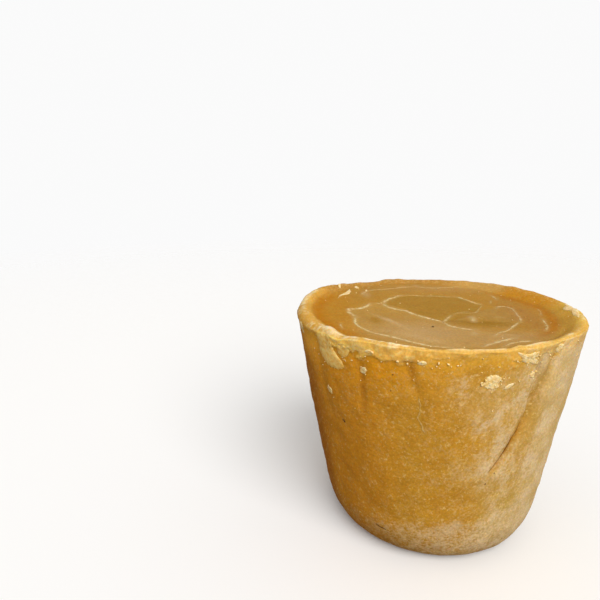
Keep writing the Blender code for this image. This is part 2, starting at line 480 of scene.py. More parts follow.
# %% The side
full_turn = at_degrees % 360.0  # runs on from the left to the back without a break
wash("#cf9424", 0.2 * ease(0.5 + 0.5 * patchy) * ~at_top)
wash("#b8760e", 0.2 * ease(0.3 - 0.6 * patchy) * ~at_top)
# Painted light and shade on the left and the back: the deep orange washes stand for shade and for amber light thrown by
# other blocks beside it. The bright gold ones are painted light on the left and front left, most of it high up.
wash("#d68c16", 0.6 * between(full_turn, 196.0, 240.0, 20.0) * ~at_top)
wash("#985000", 0.8 * ease((full_turn + 6.0 * patchy - 110.0) / 90.0) * ease((208.0 - full_turn) / 12.0) * ~at_top)
wash("#de9a24", 0.9 * on_wall(-155, 180, 36, 20))
wash("#e2980e", 0.8 * on_wall(-122, 181, 36, 16))
wash("#d08408", 0.4 * between(full_turn, 194.0, 224.0, 20.0) * ~at_top)
wash("#ffb434", 0.9 * on_wall(-157, 186, 24, 15))
wash("#ea9c14", 0.5 * on_wall(-150, 154, 16, 16))
wandering = at_degrees + 5.0 * broad + ease((at_degrees + 20.0) / 40.0) * (8.0 * patchy + 6.0 * broad)
wash("#c6a258", 0.75 * between(wandering, -80.0, 38.0, 30.0) * ~at_top)
wash("#dcc084", 0.4 * between(wandering, -60.0, 34.0, 14.0) * ~at_top)
wash("#bd9840", 0.6 * on_wall(-66, 66, 28, 22))
wash("#e0a42a", 0.6 * ease((at_z - at_crest + 20.0) / 10.0) * ~at_top)
wash("#d0b486", 0.8 * on_wall(-89.5, 48, 4.0, 3.0))
wash("#f0b450", 0.9 * lip_share + 0.4 * thin_lip_share)
# Painted light: the lip is painted brighter gold towards its left end, which would otherwise lie in shade.
wash("#ffca58", 0.8 * lip_share * ease((-112.0 - at_degrees) / 20.0))
wash("#fbd070", 0.7 * lip_share * ease(0.6 * middling + 0.4 * small))
lip_border = lip_share * np.exp(-((at_z - lip_edge - 1.5) / 1.6) ** 2)
wash("#f2cf86", 0.8 * lip_border * ease(0.6 + 0.6 * middling))
wash("#ffe08c", (0.7 * lip_share + 0.5 * thin_lip_share) * ease(0.8 * crusty - 0.3))
# Partly pale dry sugar and partly painted highlight: the lip is paler just under the crest.
wash("#f6deaa", 0.7 * lip_share * ease((at_z - at_crest + 4.0) / 3.0) * ease(0.2 + 0.8 * small + 0.5 * crusty))
wash("#f6e4bc", 0.7 * on_wall(-63, 190, 5, 9) + 0.45 * on_wall(-48, 192, 10, 6))
creased = sum(fold_pull(fold, at_angle, at_z, at_radius) for fold in FOLDS) * ~at_top
# Painted shade: the cloth's creases are darker along their valleys, and two of them get a dark line where they are
# deepest.
wash("#a87a22", 0.2 * creased)
for fold_deg, fold_z, half_high in ((-129, 165, 20), (-110, 184, 10)):
    wash("#a85e0c", 0.5 * on_wall(fold_deg, fold_z, 2.4, half_high))

# Painted shade: the side is darker towards the foot, and darker still below about 50 mm.
tint *= (0.90 + 0.14 * np.clip(at_z / RIM_Z, 0.0, 1.0))[:, None]
tint *= (1.0 - 0.20 * ease((52.0 - at_z) / 36.0))[:, None]

# %% The pour surface
wash("#b68634", pool_share)
wash("#bd8424", 0.8 * pool_share * ease((-66.0 - at_x) / 16.0))
wash("#b9905a", 0.5 * on_pool(30, 90, 70, 22))
wash("#b88d44", 0.9 * front_cell)
# Painted reflection: a broad pale sheen over the front of the top, left of the middle.
wash("#c29e68", 0.85 * on_pool(-21, -62, 42, 30))
wash("#a87e30", 0.85 * back_cell)
wash("#ae8848", 0.7 * right_cell)
wash("#9c7014", 0.9 * on_pool(32, -38, 26, 11, -6) + 0.7 * on_pool(-57, -27, 5, 11))
# Painted highlights: the first pale streak below lies along the low ridge, and the first small pale spot in the line
# after it is a painted glint.
wash("#cfae7a", 0.8 * on_pool(-46, -30, 20, 2.6, -66) + 0.35 * on_pool(-30, -76, 28, 4.0, -40))
wash("#c8a674", 0.6 * on_pool(28, -26, 2.5, 8) + 0.6 * on_pool(-55, 61, 4, 12) + 0.5 * on_pool(5, 103, 3, 6))
wash("#b8925c", 0.7 * on_pool(45, -78, 40, 16, 15))
wash("#a67640", 0.6 * on_pool(78, -10, 15, 60))

# %% The rim's inside
# It is painted gold where it is thin, as the light shining through it, and painted brighter at the right, where its
# inner wall stands in shade. It is tan at the back, and deep amber along its foot, as painted shade where the wall
# meets the top.
right_rim = between(at_degrees, -44.0, 38.0, 26.0) * at_top
back_rim = between(at_degrees, 38.0, 148.0, 30.0) * at_top
# Painted shade along the foot of the right inner wall.
wash("#b26e10", 0.8 * right_rim * np.exp(-((at_inward - 25.0) / 4.5) ** 2))
# Painted light on the right inner wall, which faces away from the window.
wash("#d2a03a", 0.9 * right_rim * ease((22.0 - at_inward) / 8.0))
wash("#c4820e", 0.8 * between(at_degrees, 4.0, 40.0, 14.0) * at_top * ease((24.0 - at_inward) / 6.0))
# Painted light on the right front crest.
wash("#e4b848", 0.8 * between(at_degrees, -32.0, 2.0, 16.0) * at_top * ease((11.0 - at_inward) / 4.0))
wash("#f4e0ac", 0.7 * between(at_degrees, -30.0, 40.0, 10.0) * at_top * ease((6.0 - at_inward) / 3.0)
     * ease(0.5 * middling + 0.5 * small))
wash("#ac7c32", 0.9 * back_rim * ease((18.0 - at_inward) / 6.0))
wash("#c89c50", 0.7 * between(at_degrees, 38.0, 66.0, 12.0) * at_top * ease((22.0 - at_inward) / 8.0))
# Painted shade along the foot of the left inner wall.
wash("#b87406", 0.8 * left_rim * np.exp(-((at_inward - 18.5) / 6.0) ** 2))
wash("#d6a240", 0.8 * left_rim * ease((14.0 - at_inward) / 3.0))
wash("#f4e0ac", 0.7 * left_rim * ease((9.0 - at_inward) / 3.0) * ease(0.45 + 0.5 * patchy + 0.4 * crusty))
at_front = between(at_degrees, -140.0, -40.0, 24.0)
wash("#dfb558", 0.6 * at_front * crest_share)
# Partly pale crystallised sugar and partly painted highlight: a broken pale band along the crest above the lip, and a
# thin pale line along the front crest.
wash("#f8e8c4", 0.8 * lip_span * np.exp(-(crest_gap / 2.2) ** 2) * ease(0.4 + 0.6 * small + 0.4 * crusty))
wash("#f4deaa", 0.7 * at_front * np.exp(-(crest_gap / 1.1) ** 2) * ease(0.5 + 0.5 * middling + 0.3 * small))
print("mean colour:", tint.mean(axis=0).round(3))

# %% [markdown]
# Three more numbers at each point steer the material: how much sugar has bloomed, how
# much shade is painted into the crack, and how glossy the surface is.

# %% Bloom, painted crack shade and gloss
right_bloom = between(wandering + broad, -80.0, 38.0, 28.0)
far_bloom = between(full_turn + 8.0 * broad, 100.0, 175.0, 40.0)
bloom = 0.16 + 0.05 * patchy
bloom += (0.30 + 0.09 * patchy) * right_bloom + 0.15 * far_bloom - 0.14 * on_wall(-66, 66, 24, 18)
lower_half = ease((130.0 - at_z) / 60.0)
bloom += (0.10 + 0.06 * lower_half) * ease((at_degrees + 125.0) / 50.0) * ease((70.0 - wandering) / 50.0)
bloom -= 0.06 * between(full_turn, 194.0, 226.0, 16.0)
smear = fold_pull(Fold(-69, 168, -89, 132, 6.0, 1.0), at_angle, at_z, at_radius)
bloom += 0.28 * smear * ~at_top + 0.22 * on_wall(-72, 92, 10, 9) - 0.2 * on_wall(-60, 160, 6, 30)
bloom += 0.24 * on_wall(-93, 172, 4, 14) + 0.10 * on_wall(-104, 140, 5, 20)
foot_bloom = 0.32 + 0.32 * ease((at_degrees + 150.0) / 65.0) * ease((175.0 - wandering) / 70.0)
foot_edge = 38.0 + 9.0 * ease((at_degrees + 150.0) / 60.0) + 2.0 * middling + 1.0 * small
foot_share = ease((foot_edge - at_z) / (9.0 + 15.0 * ease((-84.0 - at_degrees) / 30.0)) + 0.5)
bloom += foot_share * np.maximum(foot_bloom - bloom, 0.0)
bloom = bloom - 0.16 * ease((at_z - at_crest + 20.0) / 12.0) * ease((-56.0 - at_degrees) / 14.0 + 0.5)
bloom -= 0.25 * cracked * np.exp(-((beside - 1.0) / 4.0) ** 2) + 0.06 * creased
bloom = np.where(at_top, 0.10 + 0.2 * crest_share, bloom)

# Painted shade: a dark line down the middle of the crack.
crack_shade = cracked * np.exp(-(beside / 0.8) ** 2)
wash("#b47a18", 0.8 * cracked * np.exp(-((beside - 1.0) / 2.0) ** 2))
gloss = pool_share * (1.0 - 0.4 * crest_share)


def paint(mesh, name, values):
    """Stores a number or a colour for each point of a mesh."""
    values = np.asarray(values, float)
    kind = "FLOAT" if values.ndim == 1 else "FLOAT_COLOR"
    layer = mesh.attributes.new(name, kind, "POINT")
    if kind == "FLOAT":
        layer.data.foreach_set("value", values)
    else:
        layer.data.foreach_set("color", np.column_stack((values, np.ones(len(values)))).ravel())


print(f"bloom from {bloom.min():.2f} to {bloom.max():.2f}")

# %% [markdown]
# ## Sugar threads
#
# Where the cooling skin of the top wrinkled, sugar dried along the wrinkles as pale raised
# threads, about 1 mm wide. A curve with a bevel would make round cords. A ribbon with a low
# arched section, laid point by point on the skin with its edges sunk, looks grown on.

# %% Find places on the skin
def top_place(x, y):
    """The skin's point, normal and nearest mesh point below a place on the top."""
    place, normal, face, _ = surface.ray_cast(Vector((x, y, 2.0 * RIM_Z)), Vector((0.0, 0.0, -1.0)))
    return place, normal, faces[face][0]


def side_place(around, z):
    """The same for a place on the side, in millimetres around it and up."""
    out = Vector((np.cos(around / MID_RADIUS), np.sin(around / MID_RADIUS), 0.0))
    start = Vector(lean(z)) + Vector((0.0, 0.0, z)) + out * WIDTH
    place, normal, face, _ = surface.ray_cast(start, -out)
    return place, normal, faces[face][0]


def around_side(corners):
    return [(np.radians(turn) * MID_RADIUS, z) for turn, z in corners]


# %% Where the threads run
Thread = namedtuple("Thread", "corners width find pale", defaults=(1.0,))
THREADS = [
    Thread(((-54, 27), (-57, 23), (-60, 17), (-66, 12), (-72, 9), (-77, 9), (-78, 3), (-78, -5), (-75, -13),
            (-73.5, -20)), 1.5, top_place),
    Thread(((-73.5, -20), (-75, -28), (-76, -38), (-74, -46), (-70, -53), (-66, -60), (-60, -67), (-50, -75),
            (-42, -83), (-33, -90), (-25, -95), (-10, -98)), 1.0, top_place),
    Thread(((-42, 27), (-39, 36), (-34, 44), (-28, 50), (-24, 55), (-18, 58)), 1.5, top_place),
    Thread(((-18, 58), (-8, 59), (0, 57), (10, 57), (20, 55), (33, 54)), 1.2, top_place, 0.6),
    Thread(((33, 54), (38, 51), (40, 45), (44, 35), (48, 26), (50, 21)), 1.3, top_place, 0.8),
    Thread(((50, 21), (48, 15), (44, 8), (40, 0), (36, -6), (28, -8), (20, -7), (13, -13)), 0.7, top_place, 0.5),
    Thread(((13, -13), (8, -20), (3, -28), (0, -35)), 1.2, top_place, 0.8),
    Thread(((-42, 27), (-42, 22), (-40, 16), (-35, 11), (-27, 5), (-24, 1), (-20, -8), (-14, -17), (-8, -24),
            (-2, -31), (0, -35)), 1.4, top_place),
    Thread(((0, -35), (3, -44), (8, -49), (14, -54), (21, -57)), 1.2, top_place, 0.8),
    Thread(((-54, 27), (-50, 28), (-45, 26), (-42, 27)), 1.2, top_place, 0.6),
    Thread(((-60, 60), (-56, 70), (-52, 76), (-45, 81), (-38, 84), (-30, 87), (-20, 91), (-10, 97), (0, 98)),
           1.2, top_place, 0.6),
    Thread(((3, 98), (10, 95), (20, 93), (32, 95), (48, 98)), 1.0, top_place, 0.6),
    Thread(((60, 8), (64, 14), (68, 16), (72, 15), (75, 9), (74, 0), (72, -12), (70, -24), (65, -34)),
           1.0, top_place, 0.7),
    Thread(((65, -34), (57, -44), (50, -53), (44, -60), (37, -65), (30, -73)), 0.9, top_place, 0.8),
    Thread(((98, 8), (96, -3), (92, -14)), 0.8, top_place, 0.5),
    Thread(((89, -24), (86, -35), (84, -44), (80, -53), (76, -60)), 0.9, top_place, 0.8),
    Thread(((12, -98), (22, -90), (35, -83), (45, -78)), 1.2, top_place, 0.8),
    Thread(((28, -98), (38, -90), (50, -87), (56, -88)), 1.2, top_place, 0.8),
    Thread(((73, 60), (74, 51), (72, 42)), 1.0, top_place, 0.7),
    Thread(((66, 40), (62, 30), (60, 24)), 0.7, top_place, 0.5),
    Thread(((-88, -38), (-88.5, -47), (-88, -56)), 0.7, top_place, 0.7),
    # The next five short threads are partly pale sugar and partly painted glints on the cells of the top.
    Thread(((25, -34), (27, -28), (29, -21)), 1.6, top_place, 0.7),
    Thread(((49, -22), (52, -20), (55, -21)), 1.4, top_place, 0.5),
    Thread(((26, -6), (29, -3), (31, -4)), 1.4, top_place, 0.4),
    Thread(((15, -69), (16.5, -66), (18, -64)), 1.8, top_place, 0.8),
    Thread(((37, -72), (42, -70), (48, -72)), 2.0, top_place, 0.5),
    Thread(around_side(((-108.5, 166), (-107.5, 156), (-108, 146), (-106.5, 138), (-105.5, 130))), 0.7,
           side_place, 0.35),
    Thread(around_side(((70, 180), (72, 166), (69, 150))), 0.9, side_place, 0.6),
    Thread(around_side(((170, 168), (168, 150), (171, 138))), 0.9, side_place, 0.6),
]
pale = np.zeros(len(points))
for thread in THREADS:  # sugar also stained the skin softly for a millimetre or two beside them
    if thread.find is top_place:
        path = smooth_path(thread.corners, 3.0)
        off, along_thread = side_of_path(path, at_x, at_y)
        stain = np.exp(-(off / (1.6 * thread.width)) ** 2) * at_top
        pale = np.maximum(pale, 0.28 * thread.pale * stain)


# %% Draw the threads
SECTION = ((-1.0, -0.10), (-0.6, 0.14), (0.0, 0.24), (0.6, 0.14), (1.0, -0.10))  # share, mm
thread_points, thread_faces, thread_near, thread_pale = [], [], [], []
for thread in THREADS:
    path = smooth_path(thread.corners, 0.8)
    sideways = np.gradient(path, axis=0)[:, ::-1] * (-1.0, 1.0)
    sideways /= np.linalg.norm(sideways, axis=1)[:, None]
    wander = np.array([noise.noise(Vector((*p, 0.0)) / 3.0) for p in path])
    swell = np.array([noise.noise(Vector((*p, 9.0)) / 2.2) for p in path])
    ends = ease(np.minimum(np.arange(len(path)), np.arange(len(path))[::-1]) / 8.0)
    half = 1.1 * thread.width * (1.0 + 0.9 * swell) * (0.3 + 0.7 * ends)
    first = len(thread_points)
    for number, station in enumerate(path + 0.9 * wander[:, None] * sideways):
        for share, height in SECTION:
            place, normal, near = thread.find(*(station + sideways[number] * share * half[number]))
            thread_points.append(place + normal * height * (0.6 + 0.4 * thread.width) * ends[number])
            thread_near.append(near)
            thread_pale.append((1.0 - share * share) * ends[number] * (0.8 + 1.0 * swell[number]) * thread.pale)
    for row in range(first, len(thread_points) - 5, 5):
        thread_faces += [(row + i, row + i + 1, row + i + 6, row + i + 5) for i in range(4)]

threads = new_piece("sugar_threads", thread_points, thread_faces)
for name, values in (("tint", tint), ("bloom", bloom), ("crack_shade", crack_shade), ("gloss", gloss)):
    paint(skin.data, name, values)
    paint(threads.data, name, values[thread_near])
paint(skin.data, "pale", pale)
paint(threads.data, "pale", np.maximum(np.clip(thread_pale, 0.0, 1.0), pale[thread_near]))

# %% [markdown]
# ## Flakes
#
# Paste that dried on the cloth came away with it here and there, and left thin pale
# crusts. Each is drawn as a ring of corners, roughened, and filled with rings of points
# laid on the skin: sunk at the edge, about a millimetre thick inside.

# %% Where the flakes are
Flake = namedtuple("Flake", "corners thickness find dryness", defaults=(1.0,))
FLAKES = [
    Flake(around_side(((-151, 186), (-150.4, 192), (-148, 198), (-144, 199.5), (-141.5, 196), (-142, 190),
                       (-140.2, 184), (-137.6, 179), (-137, 174.5), (-139.5, 171), (-144, 170.6), (-148.4, 174),
                       (-150.6, 180))),
          0.9, side_place, 0.15),
    Flake(around_side(((-139.6, 190), (-138.4, 193.5), (-135.6, 194), (-133.6, 190.5), (-134.6, 186.5),
                       (-136.4, 183.5), (-138.6, 184.5), (-139.4, 187))), 0.7, side_place, 0.1),
    Flake(around_side(((-76, 199.5), (-73.5, 198), (-71, 198.2), (-68, 199), (-67.4, 196), (-68.4, 193.5),
                       (-67, 190.5), (-66.4, 188), (-68.6, 188.4), (-71, 190.4), (-73.8, 191.6), (-74.6, 194.4))),
          0.7, side_place, 0.85),
    Flake(around_side(((-87, 174.5), (-86.4, 178), (-85.6, 182), (-84, 183.4), (-82, 182.4), (-80.6, 179.5),
                       (-81.4, 176.5), (-80.8, 172.6), (-83, 171.6), (-85, 172.6))), 0.7, side_place, 0.8),
    Flake(around_side(((-78.8, 170.8), (-78.4, 173.5), (-76.8, 175.2), (-75.6, 174.8), (-76.8, 171.8))),
          0.6, side_place),
    Flake(around_side(((-69.6, 179), (-69, 182.4), (-67.6, 181.6), (-67.8, 178))), 0.8, side_place),
    Flake(around_side(((-57.4, 194), (-57, 199), (-55.2, 200), (-54.6, 196), (-55.8, 193))), 0.8, side_place),
    Flake(around_side(((-130.2, 175), (-129.8, 177.6), (-128.6, 179.6), (-127.2, 178.6), (-127.4, 175.6),
                       (-128.6, 173.4))), 0.6, side_place, 0.7),
    Flake(around_side(((-150.4, 146), (-149.8, 149.4), (-147.8, 150.6), (-145.8, 148.6), (-147, 144.4))),
          0.6, side_place, 0.7),
    Flake(around_side(((-127, 193.4), (-125.6, 195.8), (-123.8, 195), (-124.4, 192.6))), 0.5, side_place, 0.6),
    Flake(around_side(((-108.6, 190), (-107.8, 193), (-106.2, 193), (-106, 190.4))), 0.5, side_place),
    Flake(around_side(((30, 184), (31.5, 187), (33.4, 186), (35.8, 189), (36.4, 185), (34.6, 182.5), (34.8, 178.5),
                       (32.4, 180))), 0.8, side_place, 0.9),
    Flake(around_side(((88, 177), (89, 181.5), (91.4, 181), (92.6, 185), (94.2, 181), (93.4, 177.5), (91.6, 177),
                       (91, 172), (89.4, 173.5))), 0.8, side_place, 0.8),
    Flake(around_side(((124, 187), (124.6, 192), (126.8, 193), (127.6, 197.5), (130.6, 195), (129.6, 190.5), (131, 187),
                       (128.4, 186.5), (127.4, 182), (125.4, 184))), 0.9, side_place, 0.8),
    Flake(around_side(((151.6, 119), (152.8, 123), (154.4, 122), (156.4, 124), (155.6, 120.5), (156, 117),
                       (153.6, 117.6))), 0.6, side_place, 0.9),
    Flake(around_side(((-20, 184), (-19.4, 188), (-17.4, 187.4), (-15.6, 190), (-15.8, 185.6), (-17, 181.6),
                       (-18.4, 183))), 0.8, side_place, 0.9),
    Flake(around_side(((-172, 190), (-171, 194.6), (-168.6, 193.4), (-166.4, 197), (-164.2, 194), (-165.6, 190),
                       (-167, 186), (-169.2, 188.6))), 0.8, side_place, 0.8),
    Flake(((-84, 52), (-82, 61), (-77, 69), (-72, 79), (-69, 85), (-70, 73), (-73, 64), (-79, 61)), 0.4, top_place),
    Flake(((-82, 88), (-80, 98), (-79, 88), (-80.5, 83)), 0.4, top_place),
    Flake(((-64, 93), (-61, 97), (-59, 92), (-61, 88)), 0.4, top_place),
    Flake(((-54, 78), (-52.5, 84), (-51.5, 80), (-52.5, 76)), 0.4, top_place),
    Flake(((116, -6), (120, -1), (121, -13), (119, -23), (114, -37), (110, -42), (110, -34), (113, -24), (111, -14)),
          0.5, top_place, 0.8),
]


# %% Lay the flakes on the skin
FLAKE_RINGS = ((1.0, -0.3), (0.93, 0.45), (0.8, 0.85), (0.55, 1.0), (0.25, 0.9))  # size, height
flake_points, flake_faces, flake_dryness = [], [], []
for number, flake in enumerate(FLAKES):
    outline = smooth_path(flake.corners, 0.7, closed=True)
    middle = outline.mean(axis=0)
    ragged = np.array([1.0 + (0.08 + 0.15 * flake.dryness) * noise.fractal(Vector((*p, number)) / 2.2, 1.0, 2.0, 3)
                       for p in outline])
    outline = middle + (outline - middle) * ragged[:, None]
    first, count = len(flake_points), len(outline)
    for size, height in FLAKE_RINGS:
        for spot in middle + (outline - middle) * size:
            place, normal, near = flake.find(*spot)
            rough = 1.0 + (0.2 + 0.4 * flake.dryness) * noise.noise(place / 1.8)
            flake_points.append(place + normal * flake.thickness * height * rough)
    place, normal, near = flake.find(*middle)
    flake_points.append(place + normal * flake.thickness * 0.9)
    flake_dryness += [flake.dryness] * (len(flake_points) - first)
    for ring in range(first, first + count * (len(FLAKE_RINGS) - 1), count):
        flake_faces += [(ring + i, ring + (i + 1) % count, ring + count + (i + 1) % count, ring + count + i)
                        for i in range(count)]
    inner = first + count * (len(FLAKE_RINGS) - 1)
    flake_faces += [(inner + i, inner + (i + 1) % count, len(flake_points) - 1) for i in range(count)]
flakes = new_piece("flakes", flake_points, flake_faces)
paint(flakes.data, "dryness", flake_dryness)

# %% [markdown]
# ## Crumbs
#
# Dry crumbs cling below the rim and lie on the top. A simple ball would look like a bead,
# so each crumb is a small ball that noise has knocked out of shape, then turned and
# flattened at random. The random numbers have a fixed seed, so every run scatters alike.

# %% One crumb to copy
ball = bmesh.new()
bmesh.ops.create_icosphere(ball, subdivisions=2, radius=1.0)
ball_points = [vertex.co.copy() for vertex in ball.verts]
ball_faces = [[vertex.index for vertex in face.verts] for face in ball.faces]
ball.free()


def lump(centre, half_sizes, turned, seed, rough=0.45):
    """A knocked-about ball: its half sizes along its own axes, and how it is turned."""
    grow = [1.0 + rough * noise.noise(p * 1.6 + Vector((seed, -seed, seed))) for p in ball_points]
    return [centre + turned @ Vector(p * g * Vector(half_sizes)) for p, g in zip(ball_points, grow)]


# %% Where the crumbs lie
chance = np.random.RandomState(9)
CRUMB_SPOTS = [(-67, 182, 1.2), (-124, 194, 1.5), (-107, 192, 1.3), (-102, 192.5, 1.5), (-99, 192, 1.1),
               (-115, 191, 1.2), (-112, 189.5, 0.9), (-121, 188, 0.9), (-129.5, 179, 0.7), (-96, 191, 0.8),
               (-133, 183, 1.0), (-146, 142, 0.6), (-76, 193, 0.8), (-61, 193, 0.9), (-60, 190, 0.7),
               (-57, 196, 1.0), (-104, 188, 0.7), (-78, 180, 0.7), (-99, 197, 0.7), (-88, 196, 0.7)]
crumb_places = [(side_place, *around_side(((turn, z),))[0], size) for turn, z, size in CRUMB_SPOTS]
HEAPS = (  # where, how wide and high, how many, and how large at most
    (-83.6, 177.5, 4.5, 4.5, 34, 1.3), (-86.4, 173.6, 3.0, 1.5, 9, 0.9), (-80.4, 179.5, 2.5, 2.0, 8, 0.8),
    (-77.2, 173.0, 2.4, 2.2, 12, 0.8), (-70.0, 194.0, 6.5, 3.6, 26, 1.0), (-67.5, 189.0, 2.5, 1.6, 8, 0.9),
    (-128.6, 177.0, 2.4, 2.6, 10, 0.9), (-148.2, 147.5, 2.4, 2.6, 12, 0.9), (-68.6, 180.6, 1.6, 2.0, 6, 1.0),
    (-56.0, 196.5, 2.0, 3.0, 8, 1.0), (-137.0, 181.0, 2.5, 2.5, 8, 0.7), (-107.2, 191.5, 2.0, 1.6, 6, 0.9),
    (-124.5, 194.0, 2.0, 1.8, 5, 0.9))
for turn, z, half_wide, half_high, count, largest in HEAPS:
    for _ in range(count):
        across = np.radians(turn) * MID_RADIUS + half_wide * chance.normal() * 0.6
        up = z + half_high * chance.normal() * 0.6
        crumb_places.append((side_place, across, up, chance.uniform(0.35, 1.0) * largest))
for _ in range(35):  # below the lip and the rest of the rim
    turn = chance.uniform(-155.0, -50.0)
    z = RIM_Z - 6.0 - chance.gamma(2.0, 4.5)
    crumb_places.append((side_place, np.radians(turn) * MID_RADIUS, z, chance.uniform(0.3, 0.7)))
for _ in range(60):
    turn = chance.uniform(-180.0, 180.0)
    z = RIM_Z - 5.0 - chance.gamma(1.6, 9.0)
    crumb_places.append((side_place, np.radians(turn) * MID_RADIUS, z, chance.uniform(0.3, 0.8)))
for _ in range(25):  # anywhere on the side
    turn, z = chance.uniform(-180.0, 180.0), chance.uniform(20.0, 185.0)
    crumb_places.append((side_place, np.radians(turn) * MID_RADIUS, z, chance.uniform(0.25, 0.55)))
for _ in range(55):  # on the top, most of them near its edge
    turn, radius = chance.uniform(-np.pi, np.pi), TOP_RADIUS * (0.97 - 0.25 * chance.gamma(1.2, 0.8))
    crumb_places.append((top_place, radius * np.cos(turn), radius * np.sin(turn), chance.uniform(0.3, 0.6)))

crumb_points, crumb_faces = [], []
for number, (find, across, up, size) in enumerate(crumb_places):
    place, normal, near = find(across, up)
    axis = Vector(chance.normal(size=3)).normalized()
    turned = Matrix.Rotation(chance.uniform(0.0, 2.0 * np.pi), 3, axis)
    half_sizes = size * np.array((1.0, chance.uniform(0.6, 0.9), chance.uniform(0.4, 0.7)))
    first = len(crumb_points)
    crumb_points += lump(place + normal * size * 0.25, half_sizes, turned, number * 3.7)
    crumb_faces += [[first + i for i in face] for face in ball_faces]
crumbs = new_piece("crumbs", crumb_points, crumb_faces)
paint(crumbs.data, "dryness", np.full(len(crumb_points), 0.85))

# %% [markdown]
# ## Specks
#
# Cane juice is strained through cloth, and a few charred specks of cane always get past.
# They are drawn as flattened lumps, half sunk in the sugar. One thin fibre lies near the
# foot, and is a chain of them.

# %% The specks and the fibre
Speck = namedtuple("Speck", "across up half_long half_wide tilt_deg find")
SPECKS = [Speck(*around_side(((turn, z),))[0], *rest, side_place) for turn, z, *rest in (
    (-141, 124, 1.9, 0.9, -40), (-117, 179, 0.6, 0.5, 0), (-118, 165, 0.7, 0.4, 10), (-80, 87, 0.7, 0.5, 50),
    (-76.5, 96, 0.7, 0.4, 60), (25, 140, 0.8, 0.6, 20), (75, 110, 1.0, 0.6, 70), (118, 160, 0.8, 0.5, 0),
    (160, 90, 1.1, 0.5, 30))]
SPECKS += [Speck(-12, -46, 1.0, 2.0, -30, top_place), Speck(40, 70, 0.6, 0.5, 0, top_place)]
fibre = smooth_path(around_side(((-128.5, 31), (-126.5, 29.6), (-125.5, 29.8), (-124, 29))), 0.8)
SPECKS += [Speck(across, up, 0.9, 0.5, -10, side_place) for across, up in fibre]

speck_points, speck_faces = [], []
for number, speck in enumerate(SPECKS):
    place, normal, near = speck.find(speck.across, speck.up)
    sideways = Vector((-normal.y, normal.x, 0.0)).normalized()
    upright = normal.cross(sideways)
    frame_of_speck = Matrix((sideways, upright, normal)).transposed()
    turned = frame_of_speck @ Matrix.Rotation(np.radians(speck.tilt_deg), 3, "Z")
    first = len(speck_points)
    speck_points += lump(place, (speck.half_long, speck.half_wide, 0.25), turned, number * 5.3, 0.3)
    speck_faces += [[first + i for i in face] for face in ball_faces]
specks = new_piece("charred_specks", speck_points, speck_faces)

# %% [markdown]
# ## Materials
#
# Jaggery is boiled cane sugar with its molasses left in: a waxy, slightly translucent mass
# that lets light a few millimetres in, red farther than blue, and so it glows gold. Where it
# set in air it is smoother and has a soft gloss. Where it set on cloth it is matt and grainy.
# A painted image could show all this, but noises measured in real millimetres suit any size
# of render and have no seams.

# %% Add a shader node
def node(tree, kind, inputs=None, **settings):
    """Adds a shader node with its settings, and sets its inputs or links them to nodes."""
    made = tree.nodes.new("ShaderNode" + kind)
    for name, value in settings.items():
        setattr(made, name, value)
    for socket, value in (inputs or {}).items():
        if isinstance(value, bpy.types.Node):
            value = next(output for output in value.outputs if output.enabled)
        if isinstance(value, bpy.types.NodeSocket):
            tree.links.new(value, made.inputs[socket])
        else:
            made.inputs[socket].default_value = value
    return made


def new_material(name):
    """A material with no nodes yet, and its node tree."""
    material = bpy.data.materials.new(name)
    material.use_nodes = True
    material.node_tree.nodes.clear()
    return material, material.node_tree


# %% [markdown]
# Set jaggery's colour is built up from below: the painted amber, clouds and grains in it,
# bloom over it, and single crystals over that. A noise is about as large as one over its
# scale, so each scale here is one over a size in millimetres.

# %% Set jaggery: the amber
jaggery, tree = new_material("set_jaggery")
place = node(tree, "TexCoord").outputs["Object"]
painted = {
    name: node(tree, "Attribute", attribute_name=name).outputs["Color" if name == "tint" else "Fac"]
    for name in ("tint", "bloom", "crack_shade", "gloss", "pale")
}

# Where molasses drained or stayed, the amber is lighter or darker in clouds of about 15 mm.
clouds = node(tree, "TexNoise", {"Vector": place, "Scale": 1.0 / (15.0 * MM), "Detail": 3.0})
shade = node(tree, "MapRange", {"Value": clouds, "From Min": 0.38, "From Max": 0.62,
                                "To Min": 0.97, "To Max": 1.03})
mottled = node(tree, "Mix", {"Factor": 1.0, "A": painted["tint"], "B": shade},
               data_type="RGBA", blend_type="MULTIPLY")

# %% Set jaggery: its bloom
# Bloom is dry sugar, and comes as meal: smears of about 6 mm that break up into grains.
smeared = node(tree, "Mapping", {"Vector": place, "Rotation": (0.0, 0.44, 0.0), "Scale": (1.0, 1.0, 2.2)},
               vector_type="TEXTURE")
smears = node(tree, "TexNoise", {"Vector": smeared, "Scale": 1.0 / (6.0 * MM), "Detail": 5.0,
                                 "Roughness": 0.65})
meal = node(tree, "TexNoise", {"Vector": place, "Scale": 1.0 / (2.2 * MM), "Detail": 2.0,
                               "Roughness": 0.6})
mealy = node(tree, "Mix", {"Factor": 0.55, "A": smears, "B": meal})
fuller = node(tree, "MapRange", {"Value": painted["bloom"], "To Min": -0.15, "To Max": 0.15})
level = node(tree, "Math", {0: mealy, 1: fuller}, operation="ADD")
bloomed = node(tree, "MapRange", {"Value": level, "From Min": 0.41, "From Max": 0.60})
# A thin film of meal lets the amber through.
cover = node(tree, "MapRange", {"Value": painted["bloom"], "From Min": 0.1, "From Max": 0.7,
                                "To Min": 0.30, "To Max": 0.8})
film = node(tree, "Math", {0: bloomed, 1: cover}, operation="MULTIPLY")
dry_face = node(tree, "Mix", {"Factor": cover, "A": linear("#cd9a48"), "B": linear("#e2c9a0")},
                data_type="RGBA")
with_bloom = node(tree, "Mix", {"Factor": film, "A": mottled, "B": dry_face}, data_type="RGBA")

